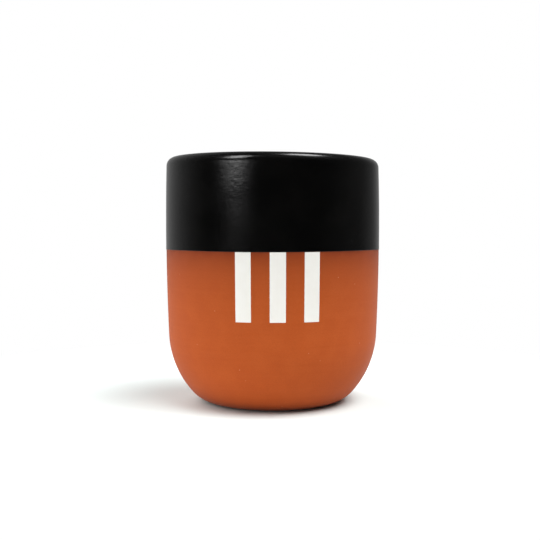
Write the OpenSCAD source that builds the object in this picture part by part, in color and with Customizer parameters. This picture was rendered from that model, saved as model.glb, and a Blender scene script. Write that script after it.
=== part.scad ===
// Handleless mug: a terracotta body with a round heel, a black glaze dipped over the lip
// and down to a level line, a poured black lining, and white slip stripes below the line.
// Millimetres, +Z up. The origin is the centre of the foot, on the surface it stands on,
// and the stripes face -Y.

/* [Clay body] */
// Height of the clay, from the foot to the top of the lip
body_h = 94.3; // [84:0.1:110]
// Outside diameter of the clay where the wall is widest
belly_d = 82.8; // [76:0.1:92]
// Height of the widest place above the foot
belly_z = 66; // [56:0.5:80]
// Radius of the wall's slight barrel curve, seen from the side
barrel_r = 900; // [400:20:1600]
// Radius of the round heel between the wall and the foot
heel_r = 35.6; // [30:0.1:43]
// Thickness of the clay wall, which the lip rounds over in full
wall = 6.4; // [4.5:0.1:8]
// Thickness of the clay floor above the table
floor_t = 6; // [4.5:0.1:9]
// Radius of the round corner between the cavity's wall and floor
cavity_heel_r = 20; // [14:0.5:26]

/* [Foot] */
// Diameter at which the heel's curve, carried on, meets the table
foot_d = 54.2; // [48:0.1:62]
// Radius that eases the outer edge of the foot
foot_ease_r = 13; // [1:0.1:18]
// Width of the flat ring that the mug stands on
foot_ring_w = 5; // [3:0.5:10]
// Depth of the dished middle of the foot
dish_depth = 1.2; // [0.6:0.1:2.5]

/* [Glaze] */
// Thickness of the fired glaze, outside and inside
glaze_t = 0.1; // [0.1:0.05:0.5]
// Height of the lower edge of the dipped glaze above the foot
glaze_line_z = 59.3; // [45:0.1:78]
// How far below the top of the clay the dipped glaze meets the lining
lip_overlap = 8; // [5:0.5:14]

/* [Stripes] */
// Width of one stripe, measured round the wall at the glaze line
stripe_w = 5.9; // [3:0.1:9]
// Bare clay between two stripes, measured the same way
stripe_gap = 6.5; // [3:0.1:12]
// Length of a stripe, down from the glaze line
stripe_l = 24.9; // [10:0.1:30]
// Thickness of the white slip
stripe_t = 0.1; // [0.1:0.05:0.4]

/* [Hidden] */
$fn = 144;
// Facets of a whole circle of long radius, of which the section uses a short arc
long_arc_fn = 1440;
// How far a round stands past the curve that it runs into, so that the two cross
arc_lap = 0.005;

clay_colour = "#b9592c";
glaze_colour = "#121212";
slip_colour = "#f1efe6";

// Radius and height that lie past every surface of the mug
past_r = belly_d / 2 + wall;
past_z = body_h + wall;

// Centres of the section's arcs, as [radius, height]
barrel_c = [belly_d / 2 - barrel_r, belly_z];
heel_c = meeting_point(barrel_c, barrel_r - heel_r, [foot_d / 2, 0], heel_r);
foot_ease_c = [heel_c.x + sqrt((heel_r - foot_ease_r) ^ 2 - (heel_c.y - foot_ease_r) ^ 2), foot_ease_r];
cavity_heel_c = on_barrel(barrel_r - wall - cavity_heel_r, floor_t + cavity_heel_r);
lip_c = on_barrel(barrel_r - wall / 2, body_h - wall / 2);

// The dish under the foot is a slice of a large ball
dish_edge_r = foot_ease_c.x - foot_ring_w;
dish_r = (dish_edge_r ^ 2 + dish_depth ^ 2) / (2 * dish_depth);

liner_top_z = body_h - lip_overlap;
mid_wall_r = belly_d / 2 - wall / 2;

// Angles round the wall, from the stripes' lengths along it
line_r = on_barrel(barrel_r, glaze_line_z).x;
stripe_angle = stripe_w / line_r * 180 / PI;
stripe_pitch = (stripe_w + stripe_gap) / line_r * 180 / PI;
front_angle = -90;

// The point on a barrel arc of radius r, at height z
function on_barrel(r, z) = [barrel_c.x + sqrt(r ^ 2 - (z - belly_z) ^ 2), z];

// The upper of the two points that lie ra from a and rb from b
function meeting_point(a, ra, b, rb) =
    let (d = norm(b - a), u = (b - a) / d)
    let (along = (ra ^ 2 - rb ^ 2 + d ^ 2) / (2 * d))
    a + along * u + sqrt(ra ^ 2 - along ^ 2) * [-u.y, u.x];

// Height, at radius r, of the straight line from the barrel's centre through p
function spoke_z(p, r) =
    barrel_c.y + (r - barrel_c.x) * (p.y - barrel_c.y) / (p.x - barrel_c.x);

// The half plane over the spoke through p
module over_spoke(p) {
    polygon([[0, spoke_z(p, 0)], [past_r, spoke_z(p, past_r)], [past_r, past_z], [0, past_z]]);
}

// The corner under the spoke through c and outside it, past the round of radius r about c
module past_round(c, r) {
    difference() {
        polygon([c, [c.x, -wall], [past_r, -wall], [past_r, spoke_z(c, past_r)]]);
        translate(c) circle(r + arc_lap);
    }
}

// Half section of a tall round-heeled bowl, filled from bottom_z up
module bowl(bottom_z, heel_centre, heel_radius, side_radius) {
    difference() {
        intersection() {
            translate(barrel_c) circle(side_radius, $fn = long_arc_fn);
            translate([0, bottom_z]) square([past_r, past_z - bottom_z]);
        }
        past_round(heel_centre, heel_radius);
    }
}

// Half section inside the outer face of the clay, grown by a coat
module outside(coat = 0) {
    bowl(0, heel_c, heel_r + coat, barrel_r + coat);
}

// Half section of the cavity, narrowed by a coat
module cavity(coat = 0) {
    bowl(floor_t + coat, cavity_heel_c, cavity_heel_r - coat, barrel_r - wall - coat);
}

// Half section of the wall and floor with a round lip, grown by a coat on both faces
module wall_section(coat = 0) {
    difference() {
        outside(coat);
        cavity(coat);
        difference() {
            over_spoke(lip_c);
            translate(lip_c) circle(wall / 2 + coat + arc_lap);
        }
    }
}

// What the dish and the eased edge take off the foot's half section
module foot_cuts() {
    translate([0, dish_depth - dish_r]) circle(dish_r, $fn = long_arc_fn);
    difference() {
        polygon([
            foot_ease_c,
            foot_ease_c + 2 * foot_ease_r * [0, -1],
            foot_ease_c + 2 * foot_ease_r * (foot_ease_c - heel_c) / norm(foot_ease_c - heel_c),
        ]);
        translate(foot_ease_c) circle(foot_ease_r + 2 * arc_lap);
    }
}

module clay_body() {
    color(clay_colour) rotate_extrude() difference() {
        wall_section();
        foot_cuts();
    }
}

module dipped_glaze() {
    color(glaze_colour) rotate_extrude() intersection() {
        difference() {
            wall_section(glaze_t);
            wall_section();
        }
        polygon([
            [mid_wall_r, glaze_line_z],
            [past_r, glaze_line_z],
            [past_r, past_z],
            [0, past_z],
            [0, liner_top_z],
            [mid_wall_r, liner_top_z],
        ]);
    }
}

module liner_glaze() {
    color(glaze_colour) rotate_extrude() intersection() {
        difference() {
            cavity();
            cavity(glaze_t);
        }
        square([past_r, liner_top_z]);
    }
}

// A stripe of slip, a number of places to the right of the middle one
module stripe(place) {
    color(slip_colour)
        rotate([0, 0, front_angle + place * stripe_pitch - stripe_angle / 2])
            rotate_extrude(angle = stripe_angle) intersection() {
                difference() {
                    outside(stripe_t);
                    outside();
                }
                translate([0, glaze_line_z - stripe_l]) square([past_r, stripe_l]);
            }
}

module left_stripe() {
    stripe(-1);
}

module middle_stripe() {
    stripe(0);
}

module right_stripe() {
    stripe(1);
}

clay_body();
dipped_glaze();
liner_glaze();
left_stripe();
middle_stripe();
right_stripe();
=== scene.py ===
"""Looks of a handleless mug: bare terracotta, a dipped black glaze, a black lining and white slip stripes.

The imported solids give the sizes. The clay and its coats are turned here as finer meshes, with the small
unevenness of a mug made by hand. Lengths are in metres, +Z is up, and the stripes face -Y.
"""

import logging
import math
from dataclasses import dataclass
from enum import Enum
from typing import Callable, Sequence

import bmesh
import bpy
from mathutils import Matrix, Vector, noise


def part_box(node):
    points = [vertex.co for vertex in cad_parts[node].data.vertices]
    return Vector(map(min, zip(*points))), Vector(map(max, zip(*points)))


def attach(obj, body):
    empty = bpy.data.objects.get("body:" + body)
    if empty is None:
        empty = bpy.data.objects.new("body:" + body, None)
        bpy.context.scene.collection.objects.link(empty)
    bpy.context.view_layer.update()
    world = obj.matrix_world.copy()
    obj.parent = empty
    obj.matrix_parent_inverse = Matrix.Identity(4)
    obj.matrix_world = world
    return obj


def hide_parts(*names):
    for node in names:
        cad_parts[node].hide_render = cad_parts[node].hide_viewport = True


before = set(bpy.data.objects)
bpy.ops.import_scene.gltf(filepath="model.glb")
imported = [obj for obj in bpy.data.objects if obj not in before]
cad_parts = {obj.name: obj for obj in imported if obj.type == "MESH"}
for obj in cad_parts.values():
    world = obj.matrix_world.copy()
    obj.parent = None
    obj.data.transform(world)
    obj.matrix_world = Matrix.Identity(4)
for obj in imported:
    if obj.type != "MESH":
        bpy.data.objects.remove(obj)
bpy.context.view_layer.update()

log = logging.getLogger("mug")

MM = 0.001
# Points closer than this are one point
TOUCHING = 1e-7
# Faces that meet at more than this angle are shaded as a corner
CORNER = math.radians(40)
BODY = "root"

# Sockets of a Mix node for colours, and for plain values
MIX_COLOURS, MIXED_COLOUR = (0, 6, 7), 2
MIX_VALUES, MIXED_VALUE = (0, 2, 3), 0

Point = tuple[float, float]
Place = tuple[float, float, float]
Colour = tuple[float, float, float, float]
Stray = Callable[[float, float, float], Point]
Piece = bpy.types.Object
Grid = list[list[bmesh.types.BMVert]]
Socket = bpy.types.NodeSocket
Given = float | Place | Colour | Socket
Inputs = dict[str | int, Given]


class Slot(Enum):
    """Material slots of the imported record."""

    TERRACOTTA = "terracotta"
    BLACK_GLAZE = "black_glaze"
    WHITE_SLIP = "white_slip"


class StripePlace(Enum):
    """The stripes, each by the CAD node that it stands for."""

    LEFT = "left_stripe"
    MIDDLE = "middle_stripe"
    RIGHT = "right_stripe"


def smooth_step(low: float, high: float, value: float) -> float:
    """Rises smoothly from 0 at low to 1 at high.

    Args:
        low: Value at which the rise starts.
        high: Value at which it ends.
        value: Value to weigh.

    Returns:
        A share from 0 to 1.
    """
    t = min(max((value - low) / (high - low), 0.0), 1.0)
    return t * t * (3 - 2 * t)


def angle_to(start: Point, end: Point) -> float:
    """Angle of the way from start to end, in radians."""
    return math.atan2(end[1] - start[1], end[0] - start[0])


def arc(centre: Point, radius: float, start: float, end: float, spacing: float) -> list[Point]:
    """Points along an arc of the half section.

    Args:
        centre: Centre, as (radius from the axis, height).
        radius: Radius of the arc.
        start: Angle of the first point, in radians.
        end: Angle of the last point.
        spacing: Largest distance between points.

    Returns:
        The points, both ends included.
    """
    steps = max(2, math.ceil(abs(end - start) * radius / spacing))
    angles = [start + (end - start) * i / steps for i in range(steps + 1)]
    return [(centre[0] + radius * math.cos(a), centre[1] + radius * math.sin(a)) for a in angles]


def line(start: Point, end: Point, spacing: float) -> list[Point]:
    """Points along a straight stretch of the half section, both ends included."""
    steps = max(1, math.ceil(math.dist(start, end) / spacing))
    return [tuple(a + (b - a) * i / steps for a, b in zip(start, end)) for i in range(steps + 1)]


def join(*runs: Sequence[Point]) -> list[Point]:
    """Chains runs of points, and drops a point that repeats the one before it.

    Args:
        runs: Runs of points, in order.

    Returns:
        One run.
    """
    chain: list[Point] = []
    for run in runs:
        for point in run:
            if not chain or math.dist(point, chain[-1]) > TOUCHING:
                chain.append(point)
    return chain


@dataclass
class Section:
    """Half section of the clay, made of arcs that run into each other without a corner."""

    body_h: float
    belly_r: float
    floor_t: float
    belly_z: float = 66 * MM
    barrel_r: float = 900 * MM
    heel_r: float = 35.6 * MM
    wall: float = 6.4 * MM
    cavity_heel_r: float = 20 * MM
    foot_r: float = 27.1 * MM
    foot_ease_r: float = 13 * MM
    foot_ring_w: float = 5 * MM
    dish_depth: float = 1.2 * MM

    def __post_init__(self) -> None:
        """Works out the arcs' centres and the angles at which they meet."""
        self.barrel_c: Point = (self.belly_r - self.barrel_r, self.belly_z)
        self.heel_c = self.heel_centre()
        reach = self.heel_r - self.foot_ease_r
        rise = self.heel_c[1] - self.foot_ease_r
        self.ease_c: Point = (self.heel_c[0] + math.sqrt(reach**2 - rise**2), self.foot_ease_r)
        corner_r = self.barrel_r - self.wall - self.cavity_heel_r
        self.cavity_heel_c = self.on_barrel(corner_r, self.floor_t + self.cavity_heel_r)
        self.lip_c = self.on_barrel(self.barrel_r - self.wall / 2, self.body_h - self.wall / 2)
        self.heel_angle = angle_to(self.barrel_c, self.heel_c)
        self.ease_angle = angle_to(self.heel_c, self.ease_c)
        self.cavity_angle = angle_to(self.barrel_c, self.cavity_heel_c)
        self.lip_angle = angle_to(self.barrel_c, self.lip_c)

    def heel_centre(self) -> Point:
        """Finds the heel's arc, which touches the barrel and runs through the foot's edge.

        Returns:
            The centre of the arc.
        """
        ax, az = self.barrel_c
        bx, bz = self.foot_r, 0.0
        near, far = self.heel_r, self.barrel_r - self.heel_r
        gap = math.dist((ax, az), (bx, bz))
        ux, uz = (bx - ax) / gap, (bz - az) / gap
        along = (far**2 - near**2 + gap**2) / (2 * gap)
        aside = math.sqrt(far**2 - along**2)
        return ax + along * ux - aside * uz, az + along * uz + aside * ux

    def on_barrel(self, radius: float, z: float) -> Point:
        """Point at height z on the barrel arc of that radius."""
        return self.barrel_c[0] + math.sqrt(radius**2 - (z - self.belly_z) ** 2), z

    def barrel_angle(self, radius: float, z: float) -> float:
        """Angle, about the barrel's centre, of the arc's point at height z."""
        return math.asin((z - self.belly_z) / radius)

    def outside(self, coat: float, low_z: float, spacing: float) -> list[Point]:
        """Outer face of the wall from height low_z up to the lip, a coat out from the clay."""
        radius = self.barrel_r + coat
        return arc(self.barrel_c, radius, self.barrel_angle(radius, low_z), self.lip_angle, spacing)

    def lip(self, coat: float, spacing: float) -> list[Point]:
        """The round lip from its outer to its inner side, a coat out from the clay."""
        return arc(self.lip_c, self.wall / 2 + coat, self.lip_angle, self.lip_angle + math.pi, spacing)

    def inside(self, coat: float, top_z: float, low_z: float, spacing: float) -> list[Point]:
        """Draws the inner face of the wall, a coat in from the clay.

        Args:
            coat: Thickness of the coat.
            top_z: Height of the first point.
            low_z: Height of the last point.
            spacing: Largest distance between points.

        Returns:
            The points, downward.
        """
        radius = self.barrel_r - self.wall - coat
        top, low = self.barrel_angle(radius, top_z), self.barrel_angle(radius, low_z)
        return arc(self.barrel_c, radius, top, low, spacing)

    def cavity_floor(self, coat: float, top_z: float, spacing: float) -> list[Point]:
        """Draws the inner wall, the round corner and the floor of the cavity, a coat in from the clay.

        Args:
            coat: Thickness of the coat.
            top_z: Height at which to start on the wall.
            spacing: Largest distance between points.

        Returns:
            The points, from the wall down to the axis.
        """
        corner_top = self.barrel_c[1] + (self.barrel_r - self.wall - coat) * math.sin(self.cavity_angle)
        corner_r = self.cavity_heel_r - coat
        corner = arc(self.cavity_heel_c, corner_r, self.cavity_angle, -math.pi / 2, spacing)
        floor = line(corner[-1], (0.0, self.floor_t + coat), spacing)
        return join(self.inside(coat, top_z, corner_top, spacing), corner, floor)

    def underside(self, spacing: float) -> list[Point]:
        """Draws the dish, the flat ring, the foot's eased edge and the heel.

        Args:
            spacing: Largest distance between points.

        Returns:
            The points, from the axis up to the wall.
        """
        edge = self.ease_c[0] - self.foot_ring_w
        dish_r = (edge**2 + self.dish_depth**2) / (2 * self.dish_depth)
        dish_c = (0.0, self.dish_depth - dish_r)
        dish = arc(dish_c, dish_r, math.pi / 2, angle_to(dish_c, (edge, 0.0)), spacing)
        ring = line((edge, 0.0), (self.ease_c[0], 0.0), spacing)
        ease = arc(self.ease_c, self.foot_ease_r, -math.pi / 2, self.ease_angle, spacing / 2)
        heel = arc(self.heel_c, self.heel_r, self.ease_angle, self.heel_angle, spacing)
        return join(dish, ring, ease, heel)


@dataclass(frozen=True)
class HandMade:
    """How far the thrown shape strays from a true turned one. Turns are in radians."""

    oval: float = 0.07 * MM
    oval_turn: float = 0.7
    swell: float = 0.04 * MM
    swell_lobes: int = 3
    swell_turn: float = 1.9
    swell_twist: float = 40.0
    swell_top: float = 30 * MM
    ring_depth: float = 0.012 * MM
    ring_pitch: float = 2.3 * MM
    ring_fade: float = 211.0
    ring_even: float = 0.6
    still_r: float = 12 * MM
    lean: float = 0.011
    lean_low: float = 66 * MM
    lean_high: float = 95 * MM

    def shift(self, turn: float, z: float) -> float:
        """Works out the radial stray, which is alike for the clay and its coats.

        Args:
            turn: Angle round the mug, in radians.
            z: Height.

        Returns:
            Stray outward.
        """
        oval = self.oval * math.cos(2 * turn + self.oval_turn) * smooth_step(0.0, self.lean_high, z)
        lobes = math.cos(self.swell_lobes * turn - self.swell_twist * z + self.swell_turn)
        return oval + self.swell * lobes * smooth_step(0.0, self.swell_top, z)

    def rings(self, turn: float, z: float) -> float:
        """Works out the faint spiral that a turning tool leaves on the clay.

        Args:
            turn: Angle round the mug, in radians.
            z: Height.

        Returns:
            Stray outward.
        """
        phase = 2 * math.pi * z / self.ring_pitch + turn
        fade = self.ring_even + (1 - self.ring_even) * math.sin(self.ring_fade * z + turn)
        return self.ring_depth * math.sin(phase) * fade

    def place(self, r: float, z: float, turn: float, stray: Point = (0.0, 0.0)) -> Place:
        """Puts a point of the half section round the axis.

        Args:
            r: Distance from the axis.
            z: Height.
            turn: Angle round the axis, in radians.
            stray: Further stray of this surface alone, outward and upward.

        Returns:
            The point, with the mug's stray and the lean of its rim.
        """
        wide = r + (self.shift(turn, z) + stray[0]) * smooth_step(0.0, self.still_r, r)
        x = wide * math.cos(turn)
        rise = -self.lean * x * smooth_step(self.lean_low, self.lean_high, z)
        return x, wide * math.sin(turn), z + rise + stray[1]


def link_mesh(name: str, bm: bmesh.types.BMesh) -> Piece:
    """Turns a finished bmesh into an object of the scene, smooth-shaded apart from its corners.

    Args:
        name: Name of the piece.
        bm: The mesh, which is freed.

    Returns:
        The new object.
    """
    bmesh.ops.recalc_face_normals(bm, faces=bm.faces)
    mesh = bpy.data.meshes.new(name)
    bm.to_mesh(mesh)
    bm.free()
    mesh.shade_smooth()
    mesh.set_sharp_from_angle(angle=CORNER)
    piece = bpy.data.objects.new(name, mesh)
    bpy.context.scene.collection.objects.link(piece)
    return piece


def lathe(name: str, outline: Sequence[Point], turns: int, hand: HandMade, stray: Stray) -> Piece:
    """Spins a half section round the axis into a closed mesh.

    Args:
        name: Name of the piece.
        outline: Points of the half section. It either starts and ends on the axis, or is a closed loop.
        turns: Number of stops round the axis.
        hand: Stray of the hand-made shape.
        stray: Further stray of this surface, outward and upward, from (r, z, turn).

    Returns:
        The new object.
    """
    bm = bmesh.new()
    rings: Grid = []
    stops = [2 * math.pi * i / turns for i in range(turns)]
    for r, z in outline:
        if r < TOUCHING:
            rings.append([bm.verts.new((0.0, 0.0, z))])
        else:
            ring = [hand.place(r, z, turn, stray(r, z, turn)) for turn in stops]
            rings.append([bm.verts.new(place) for place in ring])
    pairs = list(zip(rings, rings[1:]))
    if len(rings[0]) > 1:
        pairs.append((rings[-1], rings[0]))
    for low, high in pairs:
        for i in range(turns):
            j = (i + 1) % turns
            corners = [low[i % len(low)], low[j % len(low)], high[j % len(high)], high[i % len(high)]]
            bm.faces.new(list(dict.fromkeys(corners)))
    return link_mesh(name, bm)


@dataclass(frozen=True)
class Ramp:
    """A smooth change from one level to another, as a value goes from low to high."""

    low: float
    high: float
    start: float = 0.0
    end: float = 1.0


class NodeSheet:
    """Adds and links the nodes of one shader tree."""

    def __init__(self, tree: bpy.types.NodeTree) -> None:
        """Starts on a tree, which may hold nodes already."""
        self.tree = tree

    def give(self, socket: Socket, value: Given) -> None:
        """Sets an input to a value, or links an output to it.

        Args:
            socket: The input.
            value: A value or an output socket.
        """
        if isinstance(value, bpy.types.NodeSocket):
            self.tree.links.new(value, socket)
        else:
            socket.default_value = value

    def add(self, kind: str, inputs: Inputs | None = None, **settings: object) -> bpy.types.Node:
        """Adds a node.

        Args:
            kind: Blender's type name, without the ShaderNode prefix.
            inputs: Values or output sockets, by the name or number of the input.
            settings: Properties of the node.

        Returns:
            The new node.
        """
        made = self.tree.nodes.new(kind if kind.startswith("Node") else "ShaderNode" + kind)
        for key, value in settings.items():
            setattr(made, key, value)
        for key, value in (inputs or {}).items():
            self.give(made.inputs[key], value)
        return made

    def math(self, operation: str, a: Given, b: Given = 0.0, clamp: bool = False) -> Socket:
        """Adds a Math node on two values or sockets, and returns its output."""
        return self.add("Math", {0: a, 1: b}, operation=operation, use_clamp=clamp).outputs[0]

    def total(self, parts: Sequence[Socket]) -> Socket:
        """Adds up several values.

        Args:
            parts: The values.

        Returns:
            Their sum.
        """
        result = parts[0]
        for part in parts[1:]:
            result = self.math("ADD", result, part)
        return result

    def dot(self, way: Socket, side: Place) -> Socket:
        """How far a direction points to one side."""
        return self.add("VectorMath", {0: way, 1: side}, operation="DOT_PRODUCT").outputs["Value"]

    def ramp(self, value: Given, ramp: Ramp) -> Socket:
        """Sends a value through a ramp.

        Args:
            value: The value.
            ramp: The ramp.

        Returns:
            The level.
        """
        ends = {"From Min": ramp.low, "From Max": ramp.high, "To Min": ramp.start, "To Max": ramp.end}
        node = self.add("MapRange", {"Value": value, **ends}, interpolation_type="SMOOTHSTEP")
        return node.outputs["Result"]

    def blend(self, share: Given, a: Given, b: Given, mode: str = "MIX") -> Socket:
        """Mixes two colours.

        Args:
            share: Share of the second colour.
            a: First colour.
            b: Second colour.
            mode: Blender's blend type.

        Returns:
            The mixed colour.
        """
        inputs = dict(zip(MIX_COLOURS, (share, a, b)))
        return self.add("Mix", inputs, data_type="RGBA", blend_type=mode).outputs[MIXED_COLOUR]

    def choose(self, share: Given, a: Given, b: Given) -> Socket:
        """Mixes two values, with the given share of the second."""
        inputs = dict(zip(MIX_VALUES, (share, a, b)))
        return self.add("Mix", inputs, data_type="FLOAT").outputs[MIXED_VALUE]

    def bump(self, height: Socket, deep: float, strength: float, under: Socket | None = None) -> Socket:
        """Adds relief to the normal.

        Args:
            height: Height over the surface, from 0 to 1.
            deep: Depth of the relief in metres. A negative one is pressed in.
            strength: Share of the relief that shows.
            under: Normal of coarser relief, if there is some.

        Returns:
            The new normal.
        """
        inputs = {"Height": height, "Distance": abs(deep), "Strength": strength}
        if under is not None:
            inputs["Normal"] = under
        return self.add("Bump", inputs, invert=deep < 0).outputs[0]


class GroupSheet(NodeSheet):
    """The sheet of a new shader node group with number sockets."""

    def __init__(self, name: str, inputs: dict[str, float], outputs: Sequence[str]) -> None:
        """Starts the group.

        Args:
            name: Name of the group.
            inputs: Input names with their usual values.
            outputs: Output names.
        """
        super().__init__(bpy.data.node_groups.new(name, "ShaderNodeTree"))
        sockets = self.tree.interface
        for key, value in inputs.items():
            sockets.new_socket(key, in_out="INPUT", socket_type="NodeSocketFloat").default_value = value
        for key in outputs:
            sockets.new_socket(key, in_out="OUTPUT", socket_type="NodeSocketFloat")
        self.given = self.add("NodeGroupInput").outputs
        self.out = self.add("NodeGroupOutput").inputs
        self.spot = self.add("TexCoord").outputs["Object"]

    def scale(self, size: str) -> Socket:
        """Texture scale for an input that gives a size in metres."""
        return self.math("DIVIDE", 1.0, self.given[size])

    def cloud(self, size: str, detail: float) -> Socket:
        """Soft noise of the size that an input gives."""
        inputs = {"Vector": self.spot, "Scale": self.scale(size), "Detail": detail}
        return self.add("TexNoise", inputs).outputs[0]

    def dots(self, size: str, edge: Ramp, rarity: float) -> Socket:
        """Scatters small round dots.

        Args:
            size: Name of the input with their spacing.
            edge: Level by the distance from a dot's middle.
            rarity: Share of the places that stay empty.

        Returns:
            A mask, 1 in a dot.
        """
        cells = self.add("TexVoronoi", {"Vector": self.spot, "Scale": self.scale(size)})
        pick = self.add("SeparateColor", {0: cells.outputs["Color"]}).outputs[0]
        core = self.ramp(cells.outputs["Distance"], edge)
        return self.math("MULTIPLY", core, self.math("GREATER_THAN", pick, rarity))


@dataclass
class PotteryEffects:
    """Node groups that the finishes share, each built once."""

    mark_fineness: float = 700.0
    mark_length: float = 25.0
    mark_detail: float = 3.0
    mark_roughness: float = 0.55
    grain_size: float = 0.35 * MM
    grain_detail: float = 3.0
    mottle_size: float = 6 * MM
    mottle_detail: float = 4.0
    speck_size: float = 2.2 * MM
    speck_edge: Ramp = Ramp(0.05, 0.11, 1.0, 0.0)
    speck_rarity: float = 0.93
    peel_size: float = 1.6 * MM
    peel_detail: float = 2.0
    haze_size: float = 11 * MM
    haze_detail: float = 3.0
    pit_size: float = 3.4 * MM
    pit_edge: Ramp = Ramp(0.02, 0.09, 1.0, 0.0)
    pit_rarity: float = 0.95

    def __post_init__(self) -> None:
        """Builds the groups."""
        self.marks = self.turning_marks()
        self.grain = self.clay_grain()
        self.peel = self.glaze_peel()

    def turning_marks(self) -> bpy.types.NodeTree:
        """Makes faint level marks that run round the mug, as a turning tool or a finger leaves them.

        Returns:
            The group.
        """
        usual = {"Fineness": self.mark_fineness, "Length": self.mark_length}
        sheet = GroupSheet("turning marks", usual, ["Marks"])
        spot = sheet.add("SeparateXYZ", {0: sheet.spot}).outputs
        stretch = ("Length", "Length", "Fineness")
        drawn = [sheet.math("MULTIPLY", part, sheet.given[name]) for part, name in zip(spot, stretch)]
        where = sheet.add("CombineXYZ", dict(enumerate(drawn))).outputs[0]
        inputs = {"Scale": 1.0, "Detail": self.mark_detail, "Roughness": self.mark_roughness}
        marks = sheet.add("TexNoise", {"Vector": where, **inputs})
        sheet.give(sheet.out["Marks"], marks.outputs[0])
        return sheet.tree

    def clay_grain(self) -> bpy.types.NodeTree:
        """Makes fired clay: a fine grain, soft mottling, and sparse pale specks of grit.

        Returns:
            The group.
        """
        sizes = {
            "Grain Size": self.grain_size,
            "Mottle Size": self.mottle_size,
            "Speck Size": self.speck_size,
        }
        sheet = GroupSheet("clay grain", sizes, ["Grain", "Mottle", "Specks"])
        sheet.give(sheet.out["Grain"], sheet.cloud("Grain Size", self.grain_detail))
        sheet.give(sheet.out["Mottle"], sheet.cloud("Mottle Size", self.mottle_detail))
        sheet.give(sheet.out["Specks"], sheet.dots("Speck Size", self.speck_edge, self.speck_rarity))
        return sheet.tree

    def glaze_peel(self) -> bpy.types.NodeTree:
        """Makes the slightly uneven skin of a fired glaze: soft dimples, a few small pits, and a haze.

        Returns:
            The group.
        """
        sizes = {"Peel Size": self.peel_size, "Haze Size": self.haze_size, "Pit Size": self.pit_size}
        sheet = GroupSheet("glaze peel", sizes, ["Peel", "Haze", "Pits"])
        sheet.give(sheet.out["Peel"], sheet.cloud("Peel Size", self.peel_detail))
        sheet.give(sheet.out["Haze"], sheet.cloud("Haze Size", self.haze_detail))
        sheet.give(sheet.out["Pits"], sheet.dots("Pit Size", self.pit_edge, self.pit_rarity))
        return sheet.tree

    @staticmethod
    def use(sheet: NodeSheet, tree: bpy.types.NodeTree, **values: float) -> bpy.types.NodeOutputs:
        """Places a group in a material.

        Args:
            sheet: The material's nodes.
            tree: The group.
            values: Input values, with underscores for the spaces of the input names.

        Returns:
            The group's outputs.
        """
        node = sheet.add("Group", node_tree=tree)
        for key, value in values.items():
            node.inputs[key.replace("_", " ").title()].default_value = value
        return node.outputs


class MaterialSheet(NodeSheet):
    """The sheet of a new material, with its Principled BSDF."""

    def __init__(self, name: str) -> None:
        """Starts the material.

        Args:
            name: Name of the material.
        """
        self.material = bpy.data.materials.new(name)
        self.material.use_nodes = True
        super().__init__(self.material.node_tree)
        self.shader = self.tree.nodes["Principled BSDF"]

    def finish(self, **inputs: Given) -> bpy.types.Material:
        """Sets the shader's inputs.

        Args:
            inputs: Values or output sockets, with underscores for the spaces of the input names.

        Returns:
            The finished material.
        """
        for key, value in inputs.items():
            self.give(self.shader.inputs[key.replace("_", " ")], value)
        return self.material


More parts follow.
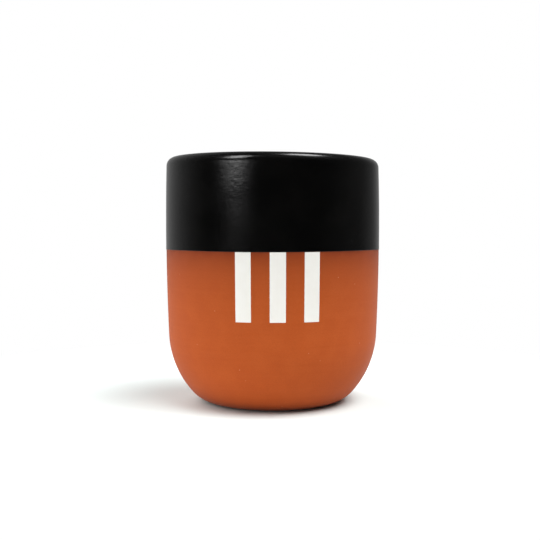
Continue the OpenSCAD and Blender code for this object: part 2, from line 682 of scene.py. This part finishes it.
@dataclass(frozen=True)
class TerracottaFinish:
    """Bare fired clay, darker just below the glaze line."""

    colour: Colour = (0.442, 0.079, 0.011, 1.0)
    pale: Colour = (0.492, 0.099, 0.019, 1.0)
    glaze_line_dark: Colour = (0.19, 0.029, 0.006, 1.0)
    grit: Colour = (0.72, 0.36, 0.2, 1.0)
    mottling: Ramp = Ramp(0.35, 0.75, 0.0, 0.55)
    marking: Ramp = Ramp(0.35, 0.75, 0.0, 0.25)
    graining: Ramp = Ramp(0.25, 0.75, 0.94, 1.05)
    grit_share: float = 0.55
    glaze_line_dark_depth: float = 7.5 * MM
    glaze_line_dark_share: float = 0.85
    glaze_line_dark_edge: Ramp = Ramp(0.3, 0.7, 0.88, 1.08)
    roughness: Ramp = Ramp(0.2, 0.8, 0.72, 0.84)
    specular: float = 0.18
    bloom: float = 0.09
    bloom_roughness: float = 0.4
    grain_height: float = 0.05 * MM
    mark_height: float = 0.06 * MM
    relief: float = 0.5

    def material(self, effects: PotteryEffects, glaze_line: float) -> bpy.types.Material:
        """Builds the material.

        Args:
            effects: Shared node groups.
            glaze_line: Height of the glaze's lower edge.

        Returns:
            The material.
        """
        sheet = MaterialSheet("terracotta")
        grain = effects.use(sheet, effects.grain)
        marks = effects.use(sheet, effects.marks)
        tone = sheet.blend(sheet.ramp(grain["Mottle"], self.mottling), self.colour, self.pale)
        tone = sheet.blend(sheet.ramp(marks["Marks"], self.marking), tone, self.pale)
        tone = sheet.blend(1.0, tone, sheet.ramp(grain["Grain"], self.graining), "MULTIPLY")
        # The clay is made darker just below the glaze line, fading out downward
        tone = sheet.blend(self.glaze_line_darkening(sheet, grain["Mottle"], glaze_line), tone, self.glaze_line_dark)
        tone = sheet.blend(sheet.math("MULTIPLY", grain["Specks"], self.grit_share), tone, self.grit)
        ridges = sheet.bump(marks["Marks"], self.mark_height, self.relief)
        return sheet.finish(
            Base_Color=tone,
            Roughness=sheet.ramp(grain["Mottle"], self.roughness),
            Specular_IOR_Level=self.specular,
            Sheen_Weight=self.bloom,
            Sheen_Roughness=self.bloom_roughness,
            Normal=sheet.bump(grain["Grain"], self.grain_height, self.relief, ridges),
        )

    def glaze_line_darkening(self, sheet: MaterialSheet, mottle: Socket, glaze_line: float) -> Socket:
        """Fades the darker clay out below the glaze line.

        Args:
            sheet: The material's nodes.
            mottle: Mottling, which makes the edge uneven.
            glaze_line: Height of the glaze's lower edge.

        Returns:
            How much darker the clay is made, from 0 to 1.
        """
        height = sheet.add("SeparateXYZ", {0: sheet.add("TexCoord").outputs["Object"]}).outputs[2]
        above = sheet.math("DIVIDE", sheet.math("SUBTRACT", height, glaze_line), self.glaze_line_dark_depth)
        fade = sheet.math("POWER", math.e, above)
        fade = sheet.math("MULTIPLY", fade, sheet.ramp(mottle, self.glaze_line_dark_edge))
        return sheet.math("MULTIPLY", fade, self.glaze_line_dark_share, clamp=True)


@dataclass(frozen=True)
class BlackGlazeFinish:
    """Satin black glaze with a faintly uneven skin."""

    name: str = "dipped black glaze"
    colour: Colour = (0.0008, 0.0008, 0.0008, 1.0)
    thin: Colour = (0.0018, 0.0017, 0.0016, 1.0)
    thinning: Ramp = Ramp(0.35, 0.75)
    roughness: Ramp = Ramp(0.25, 0.75, 0.15, 0.19)
    specular: float = 0.5
    mark_fineness: float = 320.0
    mark_length: float = 18.0
    mark_height: float = 0.03 * MM
    mark_relief: float = 0.4
    pit_height: float = -0.12 * MM
    pit_relief: float = 0.6
    peel_height: float = 0.07 * MM
    peel_relief: float = 0.5

    def material(self, effects: PotteryEffects) -> bpy.types.Material:
        """Builds the material.

        Args:
            effects: Shared node groups.

        Returns:
            The material.
        """
        sheet = MaterialSheet(self.name)
        peel = effects.use(sheet, effects.peel)
        marks = effects.use(sheet, effects.marks, fineness=self.mark_fineness, length=self.mark_length)
        rings = sheet.bump(marks["Marks"], self.mark_height, self.mark_relief)
        pits = sheet.bump(peel["Pits"], self.pit_height, self.pit_relief, rings)
        return sheet.finish(
            Base_Color=sheet.blend(sheet.ramp(peel["Haze"], self.thinning), self.colour, self.thin),
            Roughness=sheet.ramp(peel["Haze"], self.roughness),
            Specular_IOR_Level=self.specular,
            Normal=sheet.bump(peel["Peel"], self.peel_height, self.peel_relief, pits),
        )


@dataclass(frozen=True)
class BlackLiningFinish(BlackGlazeFinish):
    """The same glaze where it was poured in, duller and more streaked."""

    name: str = "black lining"
    roughness: Ramp = Ramp(0.25, 0.75, 0.24, 0.33)
    mark_height: float = 0.12 * MM


@dataclass(frozen=True)
class WhiteSlipFinish:
    """Smooth white slip, brushed down the wall."""

    colour: Colour = (0.9, 0.895, 0.845, 1.0)
    shade: Colour = (0.87, 0.86, 0.8, 1.0)
    mottling: Ramp = Ramp(0.35, 0.75, 0.0, 0.6)
    brushing: Ramp = Ramp(0.4, 0.8, 0.0, 0.5)
    roughness: Ramp = Ramp(0.25, 0.75, 0.45, 0.58)
    specular: float = 0.45
    grain_size: float = 0.5 * MM
    mottle_size: float = 4 * MM
    brush_fineness: float = 60.0
    brush_length: float = 1400.0
    grain_height: float = 0.025 * MM
    relief: float = 0.4

    def material(self, effects: PotteryEffects) -> bpy.types.Material:
        """Builds the material.

        Args:
            effects: Shared node groups.

        Returns:
            The material.
        """
        sheet = MaterialSheet("white slip")
        grain = effects.use(sheet, effects.grain, grain_size=self.grain_size, mottle_size=self.mottle_size)
        brush = effects.use(sheet, effects.marks, fineness=self.brush_fineness, length=self.brush_length)
        tone = sheet.blend(sheet.ramp(grain["Mottle"], self.mottling), self.colour, self.shade)
        return sheet.finish(
            Base_Color=sheet.blend(sheet.ramp(brush["Marks"], self.brushing), tone, self.shade),
            Roughness=sheet.ramp(brush["Marks"], self.roughness),
            Specular_IOR_Level=self.specular,
            Normal=sheet.bump(grain["Grain"], self.grain_height, self.relief),
        )


class Palette:
    """The mug's finishes as materials, each built once."""

    def __init__(self, glaze_line: float) -> None:
        """Builds the materials.

        Args:
            glaze_line: Height of the glaze's lower edge.
        """
        effects = PotteryEffects()
        self.terracotta = TerracottaFinish().material(effects, glaze_line)
        self.dip = BlackGlazeFinish().material(effects)
        self.lining = BlackLiningFinish().material(effects)
        self.slip = WhiteSlipFinish().material(effects)


@dataclass
class SubAssembly:
    """What the mug's sub-assemblies share: the section that they follow and the stray of a made shape."""

    section: Section
    hand: HandMade

    @staticmethod
    def seat(piece: Piece, material: bpy.types.Material, slot: Slot, node: str) -> None:
        """Gives a piece its finish and its place in the frame.

        Args:
            piece: The piece.
            material: Its finish.
            slot: Its slot in the record. It is not used.
            node: The CAD node that it stands for.
        """
        piece.data.materials.append(material)
        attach(piece, BODY)
        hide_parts(node)


@dataclass
class ClayBody(SubAssembly):
    """The bare clay, from the dish under its foot to the floor of its cavity."""

    spacing: float = 1.1 * MM
    hidden_spacing: float = 3 * MM
    turns: int = 192

    def build(self) -> list[Piece]:
        """Turns the clay.

        Returns:
            The clay body.
        """
        foot = self.section.underside(self.spacing)
        wall = self.section.outside(0.0, foot[-1][1], self.spacing)
        lip = self.section.lip(0.0, self.spacing)
        cavity = self.section.cavity_floor(0.0, lip[-1][1], self.hidden_spacing)
        outline = join(foot, wall, lip, cavity)
        return [lathe("clay_mug_body", outline, self.turns, self.hand, self.stray)]

    def stray(self, r: float, z: float, turn: float) -> Point:
        """Turning marks on the outside of the clay."""
        return (self.hand.rings(turn, z) if r > self.section.ease_c[0] else 0.0), 0.0

    def dress(self, pieces: Sequence[Piece], palette: Palette) -> None:
        """Gives the clay its finish."""
        self.seat(pieces[0], palette.terracotta, Slot.TERRACOTTA, "clay_body")


@dataclass
class GlazeCoats(SubAssembly):
    """The dipped coat outside and over the lip, and the lining that was poured in."""

    coat: float
    line_z: float
    lining_top: float
    bite: float = 0.12 * MM
    roll: float = 0.03 * MM
    roll_width: float = 1.1 * MM
    spacing: float = 1.1 * MM
    hidden_spacing: float = 2.2 * MM
    turns: int = 192
    wave: float = 0.02 * MM
    wave_fineness: Point = (5.2, 125.0)
    line_wave: float = 0.1 * MM
    line_lobes: int = 3
    line_turn: float = 0.3
    line_fade: float = 8 * MM

    def build(self) -> list[Piece]:
        """Turns both coats."""
        return [self.build_dip(), self.build_lining()]

    def build_dip(self) -> Piece:
        """Turns the dipped coat as a closed skin whose back lies just inside the clay.

        Returns:
            The dipped coat.
        """
        s = self.section
        outside = s.outside(self.coat, self.line_z + self.coat, self.spacing)
        rolled = [(r + self.rolled_edge(z), z) for r, z in outside]
        edge_c = (rolled[0][0] - self.coat, self.line_z + self.coat)
        edge = arc(edge_c, self.coat, -math.pi / 2, 0.0, self.coat / 4)
        lip = s.lip(self.coat, self.spacing / 2)
        inside = s.inside(self.coat, lip[-1][1], self.lining_top, self.spacing)
        back = [
            *s.outside(-self.bite, self.line_z, self.hidden_spacing),
            *s.lip(-self.bite, self.hidden_spacing),
            *s.inside(-self.bite, s.lip_c[1], self.lining_top, self.hidden_spacing),
        ]
        outline = join(edge, rolled, lip, inside, back[::-1])
        return lathe("dipped_black_glaze", outline, self.turns, self.hand, self.dip_ripple)

    def build_lining(self) -> Piece:
        """Turns the lining as a closed bowl-shaped skin.

        Returns:
            The lining.
        """
        face = self.section.cavity_floor(self.coat, self.lining_top, self.spacing)
        back = self.section.cavity_floor(-self.bite, self.lining_top, self.hidden_spacing)
        return lathe("poured_black_lining", join(face[::-1], back), self.turns, self.hand, self.ripple)

    def rolled_edge(self, z: float) -> float:
        """How far the glaze swells at its lower edge."""
        return self.roll * math.exp(-(((z - self.line_z) / self.roll_width) ** 2))

    def ripple(self, r: float, z: float, turn: float) -> Point:
        """Slow waves of the glaze's surface.

        Args:
            r: Distance from the axis.
            z: Height.
            turn: Angle round the axis, in radians.

        Returns:
            Stray outward and upward.
        """
        around, along = self.wave_fineness
        spot = Vector((around * math.cos(turn), around * math.sin(turn), along * z))
        return self.wave * noise.noise(spot), 0.0

    def dip_ripple(self, r: float, z: float, turn: float) -> Point:
        """The same waves, with those of the level that the dip reached.

        Args:
            r: Distance from the axis.
            z: Height.
            turn: Angle round the axis, in radians.

        Returns:
            Stray outward and upward.
        """
        near_line = 1.0 - smooth_step(self.line_z, self.line_z + self.line_fade, z)
        level = -self.line_wave * math.cos(self.line_lobes * (turn + math.pi / 2) + self.line_turn)
        return self.ripple(r, z, turn)[0], level * near_line

    def dress(self, pieces: Sequence[Piece], palette: Palette) -> None:
        """Gives the coats their finishes.

        Args:
            pieces: The dipped coat and the lining.
            palette: The finishes.
        """
        dip, lining = pieces
        self.seat(dip, palette.dip, Slot.BLACK_GLAZE, "dipped_glaze")
        self.seat(lining, palette.lining, Slot.BLACK_GLAZE, "liner_glaze")


@dataclass
class SlipStripe(SubAssembly):
    """One white stripe, laid on the clay below the glaze line."""

    place: StripePlace
    coat: float
    mid_turn: float
    half_angle: float
    low_z: float
    high_z: float
    bite: float = 0.1 * MM
    edge_bite: float = 0.05 * MM
    ease: float = 0.25 * MM
    across: int = 28
    along: int = 84

    def build(self) -> list[Piece]:
        """Lays the stripe as a closed patch that follows the wall.

        Returns:
            The stripe.
        """
        bm = bmesh.new()
        long = self.high_z - self.low_z
        front: Grid = []
        back: Grid = []
        for v in self.spread(self.along):
            z = self.low_z + long * v
            r, _ = self.section.on_barrel(self.section.barrel_r, z)
            front.append([])
            back.append([])
            for u in self.spread(self.across):
                turn = self.mid_turn + self.half_angle * (2 * u - 1)
                from_edge = min(min(u, 1 - u) * 2 * self.half_angle * r, min(v, 1 - v) * long)
                front[-1].append(bm.verts.new(self.hand.place(r + self.thickness(from_edge), z, turn)))
                back[-1].append(bm.verts.new(self.hand.place(r - self.bite, z, turn)))
        self.skin(bm, front, back)
        return [link_mesh("white_" + self.place.value, bm)]

    @staticmethod
    def spread(steps: int) -> list[float]:
        """Shares of the way from 0 to 1, crowded towards both ends, where the edge is eased."""
        return [(1 - math.cos(math.pi * step / steps)) / 2 for step in range(steps + 1)]

    def thickness(self, from_edge: float) -> float:
        """Height of the slip over the clay, which falls off at the stripe's edge."""
        rounded = smooth_step(0.0, self.ease, from_edge)
        return self.coat * rounded - self.edge_bite * (1 - rounded)

    @staticmethod
    def skin(bm: bmesh.types.BMesh, front: Grid, back: Grid) -> None:
        """Closes the patch with its front, its back and its four narrow sides.

        Args:
            bm: The mesh.
            front: Rows of points on the outside.
            back: Rows of points inside the clay.
        """
        rows, columns = len(front), len(front[0])
        for grid in (front, back):
            for low, high in zip(grid, grid[1:]):
                for j in range(columns - 1):
                    bm.faces.new((low[j], low[j + 1], high[j + 1], high[j]))
        rim = [(0, j) for j in range(columns)]
        rim += [(i, columns - 1) for i in range(1, rows)]
        rim += [(rows - 1, j) for j in range(columns - 2, -1, -1)]
        rim += [(i, 0) for i in range(rows - 2, 0, -1)]
        for (a, b), (c, d) in zip(rim, rim[1:] + rim[:1]):
            bm.faces.new((front[a][b], back[a][b], back[c][d], front[c][d]))

    def dress(self, pieces: Sequence[Piece], palette: Palette) -> None:
        """Gives the stripe its finish."""
        self.seat(pieces[0], palette.slip, Slot.WHITE_SLIP, self.place.value)


class Mug:
    """The mug's sub-assemblies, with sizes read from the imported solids."""

    def __init__(self) -> None:
        """Reads the sizes of the clay and its coats."""
        _, clay_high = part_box("clay_body")
        dip_low, dip_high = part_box("dipped_glaze")
        lining_low, lining_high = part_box("liner_glaze")
        self.section = Section(body_h=clay_high.z, belly_r=clay_high.x, floor_t=lining_low.z)
        self.hand = HandMade()
        self.glaze_t = dip_high.z - clay_high.z
        self.glaze_line = dip_low.z
        self.lining_top = lining_high.z

    def clay_body(self) -> ClayBody:
        """The clay, ready to build."""
        return ClayBody(self.section, self.hand)

    def glaze_coats(self) -> GlazeCoats:
        """The glaze inside and outside, ready to build."""
        return GlazeCoats(self.section, self.hand, self.glaze_t, self.glaze_line, self.lining_top)

    def stripe(self, place: StripePlace) -> SlipStripe:
        """Works out a stripe's place on the wall from its CAD node.

        Args:
            place: Which stripe.

        Returns:
            The stripe, ready to build.
        """
        low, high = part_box(place.value)
        middle_low, middle_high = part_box(StripePlace.MIDDLE.value)
        clay_r, _ = self.section.on_barrel(self.section.barrel_r, high.z)
        return SlipStripe(
            self.section,
            self.hand,
            place,
            coat=-middle_low.y - clay_r,
            mid_turn=math.atan2(low.y + high.y, low.x + high.x),
            half_angle=math.asin((middle_high.x - middle_low.x) / 2 / -middle_low.y),
            low_z=low.z,
            high_z=high.z,
        )


def bearing(azimuth: float, elevation: float = 0.0) -> Place:
    """Unit vector towards an azimuth, counted from the front to the right, and an elevation, in degrees."""
    around, up = math.radians(azimuth), math.radians(elevation)
    return math.sin(around) * math.cos(up), -math.cos(around) * math.cos(up), math.sin(up)


@dataclass(frozen=True)
class SoftLight:
    """A soft round light far from the mug, full within its core and faded out at its reach, in degrees."""

    azimuth: float
    elevation: float
    core: float
    reach: float
    level: float

    def glow(self, sheet: NodeSheet, way: Socket) -> Socket:
        """Lights the round spot.

        Args:
            sheet: The world's nodes.
            way: Direction that is looked in.

        Returns:
            The brightness in that direction.
        """
        near = sheet.dot(way, bearing(self.azimuth, self.elevation))
        edge, full = (math.cos(math.radians(angle)) for angle in (self.reach, self.core))
        return sheet.ramp(near, Ramp(edge, full, 0.0, self.level))


@dataclass(frozen=True)
class SideGlow:
    """A broad pale side of the room, brighter towards its middle, which is given in degrees."""

    azimuth: float
    spread: Ramp
    elevation: float = 0.0

    def glow(self, sheet: NodeSheet, way: Socket) -> Socket:
        """Brightness of the room as seen in the direction way."""
        return sheet.ramp(sheet.dot(way, bearing(self.azimuth, self.elevation)), self.spread)


@dataclass(frozen=True)
class TallWindow:
    """A soft-edged window, dim at its foot and bright at its top. Heights are slopes of the way to it."""

    azimuth: float = -42.7
    sides: Ramp = Ramp(0.0, 0.58, 1.0, 0.0)
    softness: float = 3.0
    dim: Ramp = Ramp(0.0, 0.12, 0.03, 0.22)
    bright: Ramp = Ramp(0.118, 0.155, 0.0, 9.0)
    top: Ramp = Ramp(0.165, 0.19, 1.0, 0.0)

    def glow(self, sheet: NodeSheet, way: Socket) -> Socket:
        """Lights the window.

        Args:
            sheet: The world's nodes.
            way: Direction that is looked in.

        Returns:
            The brightness in that direction.
        """
        ahead = sheet.math("GREATER_THAN", sheet.dot(way, bearing(self.azimuth)), 0.0)
        aside = sheet.math("ABSOLUTE", sheet.dot(way, bearing(self.azimuth - 90)))
        strip = sheet.math("POWER", sheet.ramp(aside, self.sides), self.softness)
        rise = sheet.dot(way, bearing(0.0, 90.0))
        pane = sheet.math("ADD", sheet.ramp(rise, self.dim), sheet.ramp(rise, self.bright))
        pane = sheet.math("MULTIPLY", pane, sheet.ramp(rise, self.top))
        return sheet.math("MULTIPLY", pane, sheet.math("MULTIPLY", strip, ahead))


@dataclass(frozen=True)
class Studio:
    """Camera, floor and the light of a white room.

    The room lights matte faces. Shiny faces mirror a room of their own, with broad pale sides, a window and
    a white floor that goes on past the real one. Close to the foot the floor is painted darker for the
    light
    that it throws back: painted shade that deepens the contact shade on the heel.
    """

    camera_out: float = 0.36197
    camera_z: float = 0.06816
    camera_turn: float = -2.61
    aim_z: float = 0.05108
    aim_aside: float = -0.00098
    lens: float = 61.46
    sensor: float = 36.0
    clip_start: float = 0.01
    floor_r: float = 0.2
    floor_segments: int = 96
    floor_melt: Ramp = Ramp(0.1, 0.19)
    floor_tone: Colour = (0.75, 0.815, 0.805, 1.0)
    floor_bounce: Colour = (0.74, 0.74, 0.74, 1.0)
    # Painted shade: a darker colour for the light that the floor throws back close to the foot, darkening
    # the heel's underside
    foot_painted_shade: Colour = (0.3, 0.3, 0.3, 1.0)
    foot_painted_shade_fade: Ramp = Ramp(0.024, 0.04)
    floor_roughness: float = 0.9
    floor_specular: float = 0.1
    room: tuple[SoftLight, ...] = (
        SoftLight(azimuth=45, elevation=60, core=6, reach=26, level=6.9),
        SoftLight(azimuth=90, elevation=60, core=6, reach=26, level=5.7),
        SoftLight(azimuth=90, elevation=38, core=6, reach=32, level=0.5),
        SoftLight(azimuth=-45, elevation=10, core=6, reach=38, level=1.5),
        SoftLight(azimuth=-90, elevation=10, core=6, reach=38, level=0.8),
        SoftLight(azimuth=-90, elevation=38, core=6, reach=32, level=2.2),
        SoftLight(azimuth=-135, elevation=38, core=6, reach=32, level=2.4),
        SoftLight(azimuth=-135, elevation=60, core=6, reach=26, level=2.0),
    )
    mirrored: tuple[SoftLight | SideGlow | TallWindow, ...] = (
        SideGlow(azimuth=-155, spread=Ramp(0.2, 1.1, 0.0, 0.29)),
        SideGlow(azimuth=150, spread=Ramp(-0.3, 0.6, 0.02, 0.075)),
        SideGlow(azimuth=150, spread=Ramp(0.6, 1.15, 0.0, 0.12)),
        SideGlow(azimuth=0, spread=Ramp(0.15, 0.4, 0.0, 0.9), elevation=-90),
        TallWindow(),
        SoftLight(azimuth=-48, elevation=38, core=3, reach=12, level=7.0),
        SoftLight(azimuth=-48, elevation=52, core=3, reach=12, level=7.0),
        SoftLight(azimuth=90, elevation=71, core=6, reach=15, level=9.8),
    )

    def build_camera(self) -> None:
        """Puts the camera a little above the glaze line, so that the rim hides the cavity."""
        out = Vector(bearing(self.camera_turn))
        across = Vector(bearing(self.camera_turn + 90))
        camera = bpy.data.objects.new("camera", bpy.data.cameras.new("camera"))
        camera.data.lens = self.lens
        camera.data.sensor_width = self.sensor
        camera.data.clip_start = self.clip_start
        camera.location = out * self.camera_out + Vector((0, 0, self.camera_z))
        aim = across * self.aim_aside + Vector((0, 0, self.aim_z))
        camera.rotation_euler = (aim - camera.location).to_track_quat("-Z", "Y").to_euler()
        bpy.context.scene.collection.objects.link(camera)
        bpy.context.scene.camera = camera

    def build_floor(self) -> None:
        """Lays a round pale floor that shows the mug's shadow and melts into the white surroundings."""
        bm = bmesh.new()
        bmesh.ops.create_circle(bm, cap_ends=True, segments=self.floor_segments, radius=self.floor_r)
        floor = link_mesh("floor", bm)
        sheet = MaterialSheet("white floor")
        spot = sheet.add("TexCoord").outputs["Object"]
        away = sheet.add("VectorMath", {0: spot}, operation="LENGTH").outputs["Value"]
        path = sheet.add("LightPath").outputs
        seen = sheet.math("MAXIMUM", path["Is Camera Ray"], path["Is Glossy Ray"])
        seen = sheet.math("MAXIMUM", seen, path["Is Transmission Ray"])
        melt = sheet.math("MULTIPLY", sheet.ramp(away, self.floor_melt), seen)
        # Painted shade: close to the foot the floor throws back less light, so the heel's underside turns
        # darker
        bounce_with_painted_shade = sheet.blend(sheet.ramp(away, self.foot_painted_shade_fade), self.foot_painted_shade, self.floor_bounce)
        sheet.finish(
            Base_Color=sheet.blend(seen, bounce_with_painted_shade, self.floor_tone),
            Roughness=self.floor_roughness,
            Specular_IOR_Level=self.floor_specular,
        )
        white = sheet.add("Emission", {"Color": (1, 1, 1, 1), "Strength": 1.0})
        mixed = sheet.add("MixShader", {0: melt, 1: sheet.shader.outputs[0], 2: white.outputs[0]})
        sheet.give(sheet.tree.nodes["Material Output"].inputs["Surface"], mixed.outputs[0])
        floor.data.materials.append(sheet.material)

    def build_world(self) -> None:
        """Makes white surroundings for the eye, soft lights for matte faces, and a room for shiny ones."""
        world = bpy.data.worlds.new("studio")
        world.use_nodes = True
        bpy.context.scene.world = world
        sheet = NodeSheet(world.node_tree)
        way = sheet.add("TexCoord").outputs["Generated"]
        room = sheet.total([light.glow(sheet, way) for light in self.room])
        shine = sheet.total([light.glow(sheet, way) for light in self.mirrored])
        path = sheet.add("LightPath").outputs
        plain = sheet.math("MAXIMUM", path["Is Camera Ray"], path["Is Transmission Ray"])
        level = sheet.choose(plain, sheet.choose(path["Is Glossy Ray"], room, shine), 1.0)
        background = world.node_tree.nodes["Background"]
        background.inputs["Color"].default_value = (1, 1, 1, 1)
        sheet.give(background.inputs["Strength"], level)


def main() -> None:
    """Builds the mug's sub-assemblies in order, reports each piece, and sets up the studio."""
    logging.basicConfig(level=logging.INFO, format="%(message)s")
    bpy.context.scene.view_settings.view_transform = "Standard"
    mug = Mug()
    palette = Palette(mug.glaze_line)
    for part in (mug.clay_body(), mug.glaze_coats(), *map(mug.stripe, StripePlace)):
        pieces = part.build()
        part.dress(pieces, palette)
        for piece in pieces:
            log.info("%s: %d faces", piece.name, len(piece.data.polygons))
    studio = Studio()
    studio.build_camera()
    studio.build_floor()
    studio.build_world()


if __name__ == "__main__":
    main()
